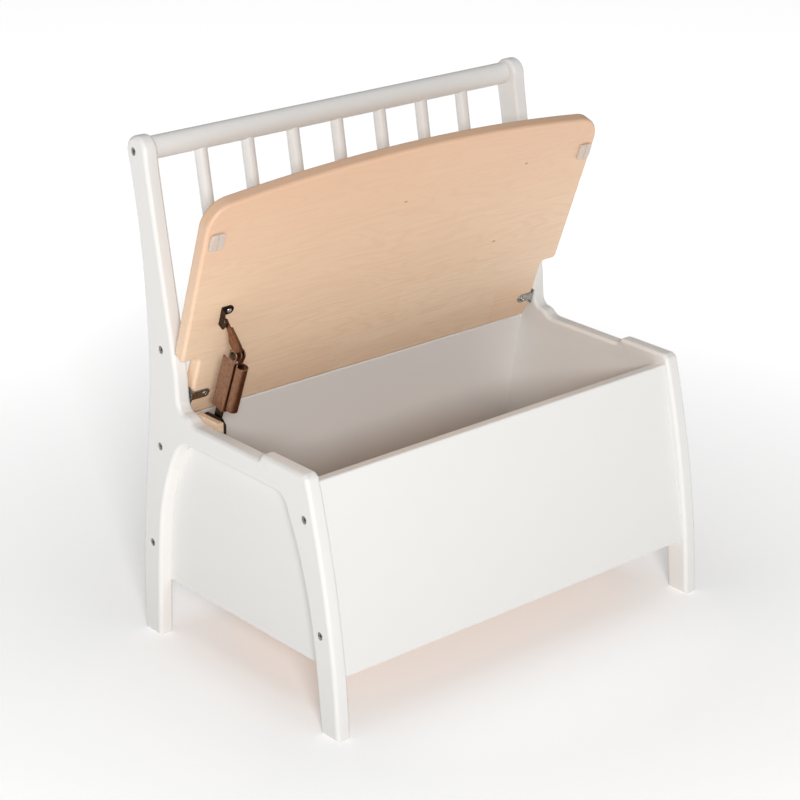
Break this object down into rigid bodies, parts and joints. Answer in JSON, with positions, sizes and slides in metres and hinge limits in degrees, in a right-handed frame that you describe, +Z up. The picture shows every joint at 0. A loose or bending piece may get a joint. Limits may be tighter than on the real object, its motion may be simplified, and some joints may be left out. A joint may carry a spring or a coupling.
{
  "type": "storage bench",
  "caption": "Low lacquered bench with curved side frames, a spindle back and a solid-wood seat that lifts as the lid of a storage chest, held open by a folding stay.",
  "frame": {"origin": "on the floor, in the middle of the bench's width and depth", "axes": "+Z up; +X to the right of someone who stands in front and faces the back of the bench; the front is at -Y"},
  "size_m": [0.612, 0.379, 0.6325],
  "materials": {
    "lacquer": "satin off-white lacquer",
    "lacquer_sheet": "satin off-white lacquered sheet",
    "fibreboard": "raw brown fibreboard",
    "beech": "clear-lacquered finger-jointed beech",
    "beech_plain": "bare turned beech",
    "block_wood": "bare sawn softwood",
    "dark_steel": "blackened, worn at the edges",
    "copper": "antique copper plating on steel",
    "zinc": "bright zinc plating",
    "spring_steel": "oiled drawn wire",
    "nylon": "moulded",
    "bumper": "milky soft plastic"
  },
  "bodies": {
    "bench": {"left_rear_post": "lacquer", "right_rear_post": "lacquer", "left_front_leg": "lacquer", "right_front_leg": "lacquer", "left_arm_rail": "lacquer", "right_arm_rail": "lacquer", "frame_dowels": "beech_plain", "left_side_panel": "lacquer_sheet", "right_side_panel": "lacquer_sheet", "side_panel_pins": "zinc", "front_panel": "lacquer", "back_panel": "lacquer", "bottom_panel": "fibreboard", "frame_bolts": "dark_steel", "barrel_nuts": "zinc", "top_rail": "lacquer", "lower_back_rail": "lacquer", "rung_1": "lacquer", "rung_2": "lacquer", "rung_3": "lacquer", "rung_4": "lacquer", "rung_5": "lacquer", "rung_6": "lacquer", "rung_7": "lacquer", "left_hinge_bush": "nylon", "right_hinge_bush": "nylon", "stay_block": "block_wood", "stay_foot": "dark_steel", "stay_foot_screws": "zinc", "stay_foot_rivet": "dark_steel"},
    "lid": {"lid_board": "beech", "left_bumper": "bumper", "right_bumper": "bumper", "left_hinge_bracket": "zinc", "right_hinge_bracket": "zinc", "left_hinge_pin": "zinc", "right_hinge_pin": "zinc", "hinge_screws": "zinc", "stay_lid_bracket": "dark_steel", "stay_lid_screw": "zinc", "stay_lid_rivet": "dark_steel"},
    "stay_housing": {"stay_housing": "copper", "stay_tongue": "dark_steel", "stay_spring": "spring_steel", "stay_knee_rivet": "dark_steel"},
    "stay_arm": {"stay_arm": "copper"}
  },
  "joints": [
    {"name": "lid_hinge", "type": "hinge", "parent": "bench", "child": "lid", "pos_m": [0, 0.119, 0.328], "axis": [1, 0, 0], "range_deg": [0, 71]},
    {"name": "stay_foot_pivot", "type": "hinge", "parent": "bench", "child": "stay_housing", "pos_m": [-0.268, 0.07, 0.298], "axis": [1, 0, 0], "range_deg": [0, 73]},
    {"name": "stay_knee_pivot", "type": "hinge", "parent": "stay_housing", "child": "stay_arm", "pos_m": [-0.262, 0.034, 0.397], "axis": [1, 0, 0], "range_deg": [-98, 0]}
  ],
  "couplings": [
    {"joint": "stay_foot_pivot", "follows": "lid_hinge", "ratio": 1.02},
    {"joint": "stay_knee_pivot", "follows": "lid_hinge", "ratio": -1.364}
  ]
}
